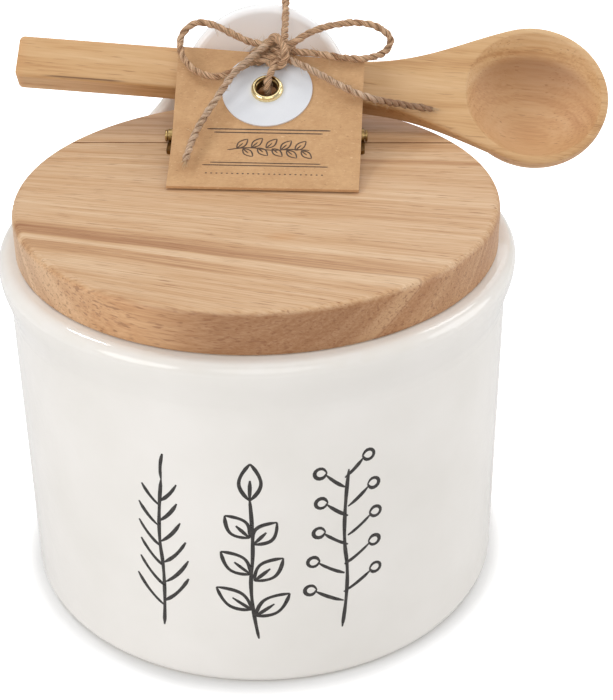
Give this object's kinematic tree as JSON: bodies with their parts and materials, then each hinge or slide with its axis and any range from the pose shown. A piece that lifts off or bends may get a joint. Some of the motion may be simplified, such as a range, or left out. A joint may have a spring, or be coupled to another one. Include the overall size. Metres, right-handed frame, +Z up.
{
  "type": "salt box",
  "caption": "Round white glazed ceramic salt box with a hinged wooden lid and a hanging tab, and a wooden spoon and card tag tied to the tab with twine.",
  "frame": {"origin": "centre of the jar's flat base, on the surface that it stands on", "axes": "+Z up along the jar's axis, +X towards the spoon's bowl, +Y towards the hanging tab at the back; the lid's front edge is at -Y"},
  "size_m": [0.132, 0.1129, 0.1117],
  "materials": {
    "white_glaze": "gloss",
    "lid_wood": "satin",
    "spoon_wood": "matte",
    "brass": "satin",
    "kraft_card": "matte",
    "white_paper": "matte",
    "jute": "matte"
  },
  "bodies": {
    "jar": {"jar": "white_glaze", "lid_rear": "lid_wood", "hinge_rear_leaf": "brass", "hinge_pin": "brass", "rear_leaf_screws": "brass", "spoon_wrap": "jute", "wrap_knot": "jute"},
    "lid": {"lid_flap": "lid_wood", "hinge_front_leaf": "brass", "front_leaf_screws": "brass"},
    "spoon": {"spoon": "spoon_wood"},
    "tag": {"tag_card": "kraft_card", "tag_disc": "white_paper", "tag_eyelet": "brass", "tag_tie": "jute", "bow_knot": "jute", "bow_loop_left": "jute", "bow_loop_right": "jute", "bow_tail_left": "jute", "bow_tail_right": "jute", "bow_hanger": "jute"}
  },
  "joints": [
    {"name": "lid_hinge", "type": "hinge", "parent": "jar", "child": "lid", "pos_m": [0.001, 0.0254, 0.08895], "axis": [-1, 0, 0], "range_deg": [0, 90]},
    {"name": "tag_swing", "type": "hinge", "parent": "jar", "child": "tag", "pos_m": [0.0048, 0.051, 0.1106], "axis": [-1, 0, 0], "range_deg": [0, 100]},
    {"name": "spoon_slide", "type": "slide", "parent": "jar", "child": "spoon", "axis": [0.9971, -0.0183, -0.0732], "range_m": [0, 0.065]}
  ],
  "couplings": [
    {"joint": "tag_swing", "follows": "lid_hinge", "ratio": 1.1}
  ]
}
